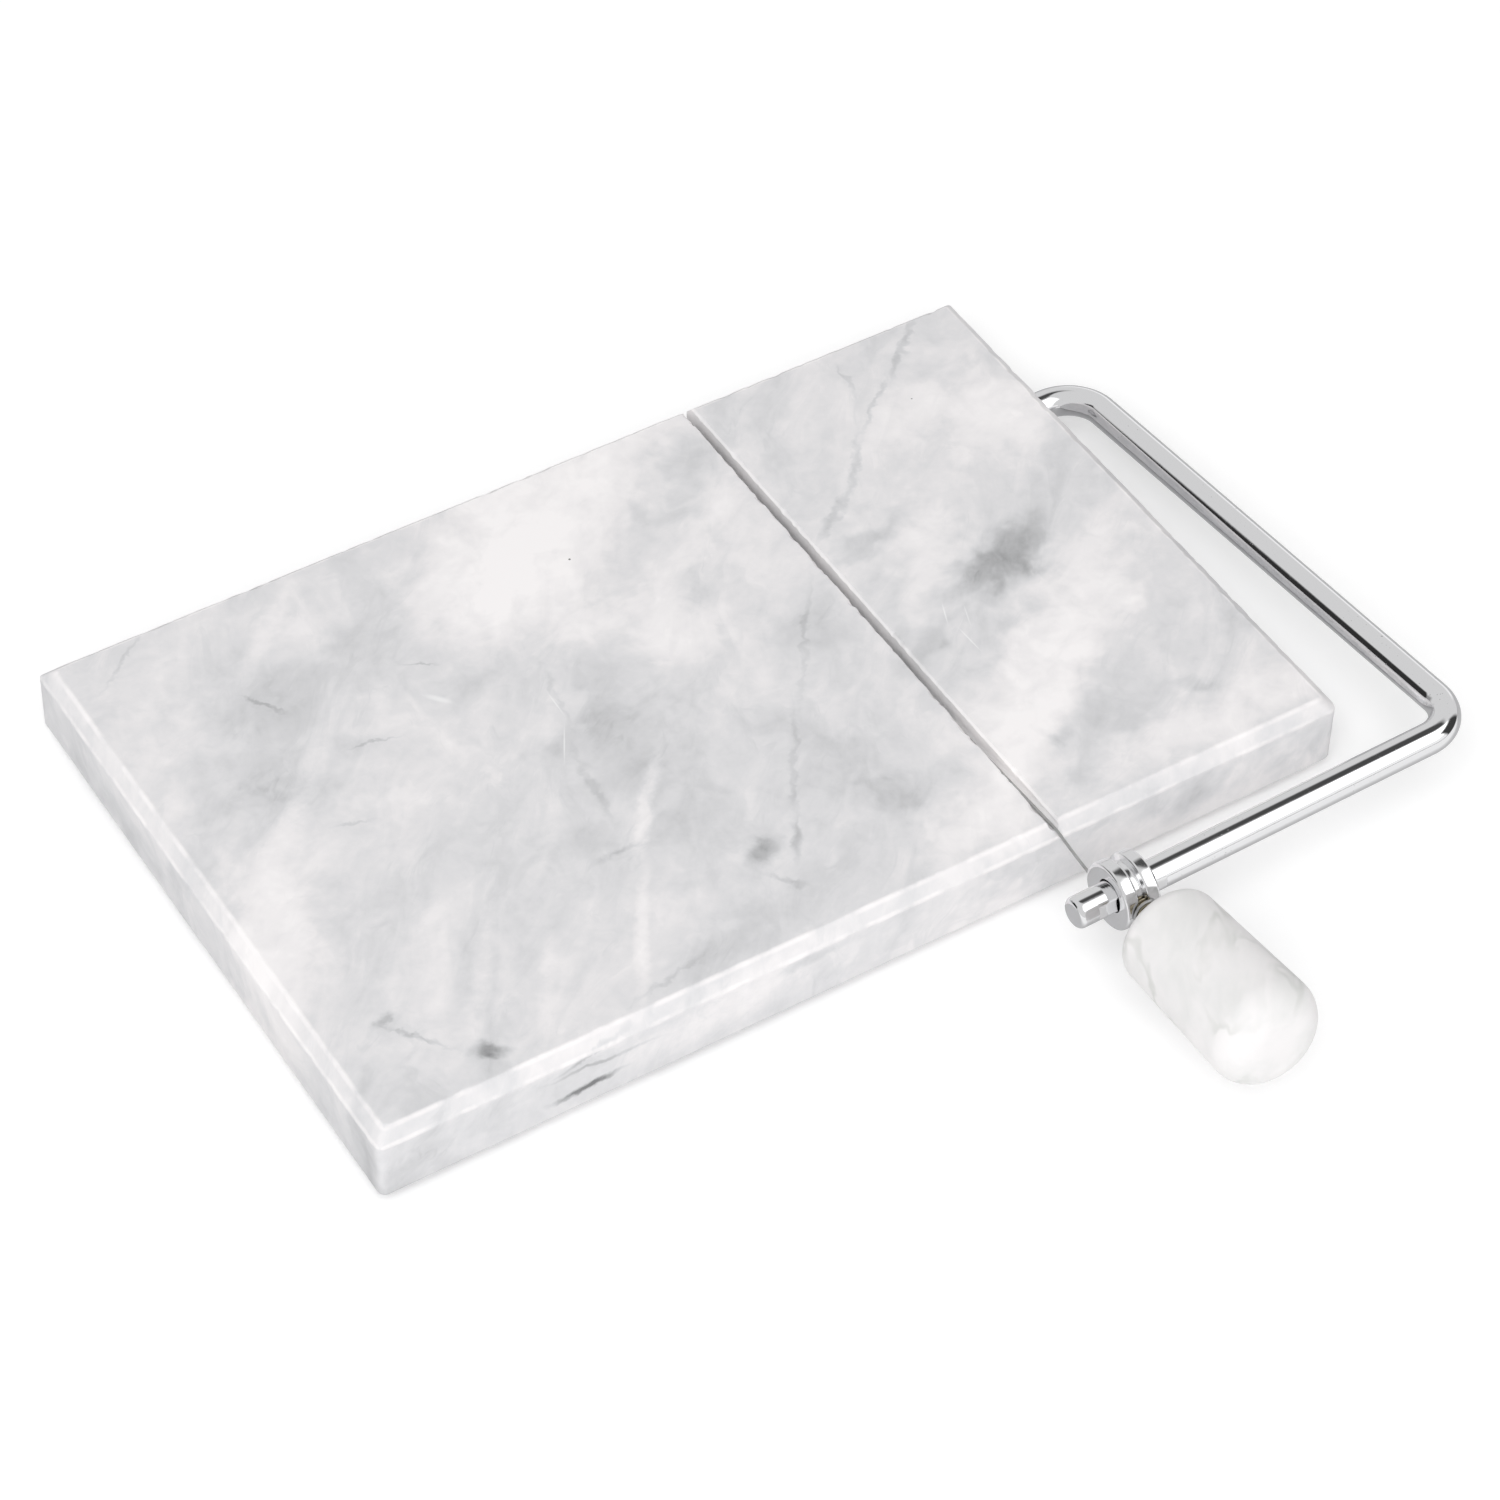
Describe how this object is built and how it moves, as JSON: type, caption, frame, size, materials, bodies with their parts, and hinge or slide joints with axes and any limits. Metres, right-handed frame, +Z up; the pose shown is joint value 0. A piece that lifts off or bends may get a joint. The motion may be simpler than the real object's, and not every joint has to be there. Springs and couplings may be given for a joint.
{
  "type": "cheese wire cutter",
  "caption": "Marble slab with a saw-cut slot and a hinged steel wire bow whose marble knob screws up the spool holding the wire.",
  "frame": {"origin": "middle of the whole footprint, on the surface the object stands on", "axes": "+X along the slab towards the bow's bridge, +Y away from the knob towards the far edge with the bow's pivot, +Z up"},
  "size_m": [0.2167, 0.1966, 0.0346],
  "materials": {
    "marble": "honed white marble with soft grey veins",
    "knob_marble": "polished white marble",
    "rubber": "matt translucent grey",
    "chrome_rod": "bright plated steel",
    "chrome_spool": "bright plated steel, turned",
    "steel_wire": "drawn stainless wire",
    "bead_steel": "swaged stainless steel",
    "stud_steel": "zinc-plated screw thread"
  },
  "bodies": {
    "base": {"board": "marble", "foot_near_left": "rubber", "foot_near_right": "rubber", "foot_far_left": "rubber", "foot_far_right": "rubber"},
    "bow": {"bow_rod": "chrome_rod", "spool": "chrome_spool", "cutting_wire": "steel_wire", "wire_bead": "bead_steel"},
    "knob": {"knob": "knob_marble", "stud": "stud_steel"}
  },
  "joints": [
    {"name": "bow_hinge", "type": "hinge", "parent": "base", "child": "bow", "pos_m": [0.0295, 0.06845, 0.01], "axis": [-1, 0, 0], "range_deg": [0, 174]},
    {"name": "knob_turn", "type": "hinge", "parent": "bow", "child": "knob", "pos_m": [0.0295, -0.05149, 0.02049], "axis": [0, -0.9962, 0.0872], "range_deg": [0, 360]}
  ]
}
